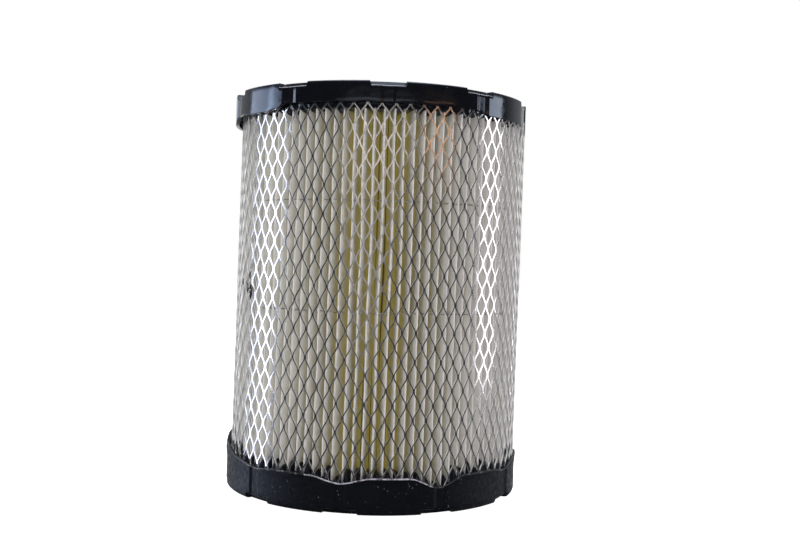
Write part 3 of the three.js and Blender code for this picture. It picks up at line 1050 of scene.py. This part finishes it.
def studio_world():
    """White behind everything the camera sees; for light and reflections, a room pale above and behind."""
    world = bpy.data.worlds.new("studio")
    bpy.context.scene.world = world
    world.use_nodes = True
    tree = world.node_tree
    seen = tree.nodes["Background"]
    seen.inputs["Color"].default_value = (1, 1, 1, 1)
    seen.inputs["Strength"].default_value = 1.0
    room = tree.nodes.new("ShaderNodeBackground")
    room.inputs["Color"].default_value = (0.94, 0.97, 1.0, 1)
    direction = tree.nodes.new("ShaderNodeTexCoord")
    split = tree.nodes.new("ShaderNodeSeparateXYZ")
    tree.links.new(direction.outputs["Generated"], split.inputs["Vector"])
    strength = None
    for axis, dark_edge, pale_edge in (("Z", 0.28, 0.34), ("Y", 0.3, 0.6)):
        pale = tree.nodes.new("ShaderNodeMapRange")
        pale.inputs["From Min"].default_value = dark_edge
        pale.inputs["From Max"].default_value = pale_edge
        pale.inputs["To Min"].default_value = DARK_LIGHT
        pale.inputs["To Max"].default_value = ROOM_LIGHT
        tree.links.new(split.outputs[axis], pale.inputs["Value"])
        if strength is None:
            strength = pale.outputs["Result"]
            continue
        larger = tree.nodes.new("ShaderNodeMath")
        larger.operation = "MAXIMUM"
        tree.links.new(strength, larger.inputs[0])
        tree.links.new(pale.outputs["Result"], larger.inputs[1])
        strength = larger.outputs["Value"]
    tree.links.new(strength, room.inputs["Strength"])
    path = tree.nodes.new("ShaderNodeLightPath")
    mix = tree.nodes.new("ShaderNodeMixShader")
    tree.links.new(path.outputs["Is Camera Ray"], mix.inputs["Fac"])
    tree.links.new(room.outputs["Background"], mix.inputs[1])
    tree.links.new(seen.outputs["Background"], mix.inputs[2])
    tree.links.new(mix.outputs["Shader"], tree.nodes["World Output"].inputs["Surface"])


MIDDLE = Vector((0, 0, HEIGHT / 2))
COOL = (0.72, 0.82, 1.0)
FAINTLY_COOL = (0.82, 0.85, 0.9)
CREAM = (1.0, 0.94, 0.84)
ORANGE = (1.0, 0.55, 0.26)


def soft_box(name, azimuth, elevation, distance, size, power, color=(1, 1, 1), roll=0.0):
    """Rectangular light that faces the middle from an azimuth (0 is -Y, +90 is +X) and an elevation.

    distance and size are in metres, power is in watts, and roll and both angles are in degrees.
    """
    light = bpy.data.lights.new(name, "AREA")
    light.shape = "RECTANGLE"
    light.size, light.size_y = size
    light.energy = power
    light.color = color
    lamp = bpy.data.objects.new(name, light)
    bpy.context.scene.collection.objects.link(lamp)
    turn, rise = math.radians(azimuth), math.radians(elevation)
    direction = Vector((math.sin(turn) * math.cos(rise), -math.cos(turn) * math.cos(rise), math.sin(rise)))
    lamp.location = MIDDLE + direction * distance
    facing = direction.to_track_quat("Z", "Y").to_matrix()
    lamp.rotation_euler = (facing @ Matrix.Rotation(math.radians(roll), 3, "Z")).to_euler()
    lamp.visible_camera = False


def studio_lights():
    """Overhead boxes, cool panels at the sides, a rear panel, and faint cards in front."""
    soft_box("overhead_front", 0, 58, 0.8, (0.9, 0.6), 4.4)
    soft_box("overhead_back", 180, 55, 0.8, (0.9, 0.6), 5.0)
    soft_box("left_strip", -102, -1.7, 0.6, (0.3, 0.4), 1.25, COOL)
    soft_box("left_wedge", -88.9, 2.9, 0.6, (0.16, 0.3), 0.5, COOL, -25)
    soft_box("right_strip", 92, 3.8, 0.6, (0.214, 0.28), 0.85, FAINTLY_COOL)
    soft_box("rear_panel", 180, 0, 0.8, (1.3, 0.5), 0.8)
    soft_box("front_low_card", -9.6, -3.2, 0.7, (0.27, 0.085), 0.015)
    soft_box("front_card", -9, 3.0, 0.7, (0.42, 0.07), 0.03)
    soft_box("front_high_card", -10, 8.3, 0.7, (0.57, 0.06), 0.06, CREAM)
    soft_box("cream_card", -1, 11.2, 0.7, (0.66, 0.032), 0.068, CREAM)
    soft_box("warm_card", 42, 10.9, 0.7, (0.3, 0.034), 0.045, ORANGE)


LENS = 46.29
SENSOR = 36.0
CAMERA_DISTANCE = 0.399
CAMERA_HEIGHT = 0.086
CAMERA_PITCH = -0.334
CAMERA_YAW = 1.293
CAMERA_ROLL = 1.782


def place_camera():
    """Camera at -Y, at the height of the cartridge's upper half, rolled slightly."""
    data = bpy.data.cameras.new("camera")
    data.lens = LENS
    data.sensor_width = SENSOR
    data.sensor_fit = "HORIZONTAL"
    camera = bpy.data.objects.new("camera", data)
    bpy.context.scene.collection.objects.link(camera)
    pitch, yaw, roll = (math.radians(value) for value in (CAMERA_PITCH, CAMERA_YAW, CAMERA_ROLL))
    forward = Vector((math.sin(yaw) * math.cos(pitch), math.cos(yaw) * math.cos(pitch), math.sin(pitch)))
    level = Vector((math.cos(yaw), -math.sin(yaw), 0))
    upright = level.cross(forward)
    right = math.cos(roll) * level + math.sin(roll) * upright
    up = math.cos(roll) * upright - math.sin(roll) * level
    rotation = Matrix((right, up, -forward)).transposed().to_4x4()
    camera.matrix_world = Matrix.Translation((0, -CAMERA_DISTANCE, CAMERA_HEIGHT)) @ rotation
    bpy.context.scene.camera = camera


# ---- build --------------------------------------------------------------------------------------
place_camera()
studio_world()
studio_lights()
white_floor()
bpy.context.scene.view_settings.view_transform = "Standard"

black_gloss = top_cap_material()
black_satin = bottom_cap_material()
pale_flash = flash_material()
bright_metal = screen_material("outer_screen_metal", (0.8, 0.77, 0.78), 0.14, cut_edges=True)
core_metal = screen_material("inner_screen_metal", (0.6, 0.61, 0.62), 0.38)
clip_metal = screen_material("clip_steel", (0.55, 0.55, 0.55), 0.4)
crushed_metal = crimp_material()
cream_paper = paper_material()
glue_painted_dark = glue_material()

top_cap(black_gloss)
bottom_cap(black_satin)
bottom_flash(pale_flash)
potting("bottom_potting", lambda a: bottom_edge(a) - 0.5 * MM, 1, 4.0 * MM,
        "bottom_end_cap", black_satin)
potting("top_potting", lambda a: HEIGHT - TOP_SKIRT - 0.2 * MM + 0 * a, -1, 1.5 * MM,
        "top_end_cap", black_gloss)
outer_screen(bright_metal)
inner_screen(core_metal)
pleat_pack(cream_paper)
glue_bead("pleat_bead_upper_line", "pleat_bead_upper", glue_painted_dark)
glue_bead("pleat_bead_lower_line", "pleat_bead_lower", glue_painted_dark)
seam_clip(clip_metal)
seam_crimp(crushed_metal)
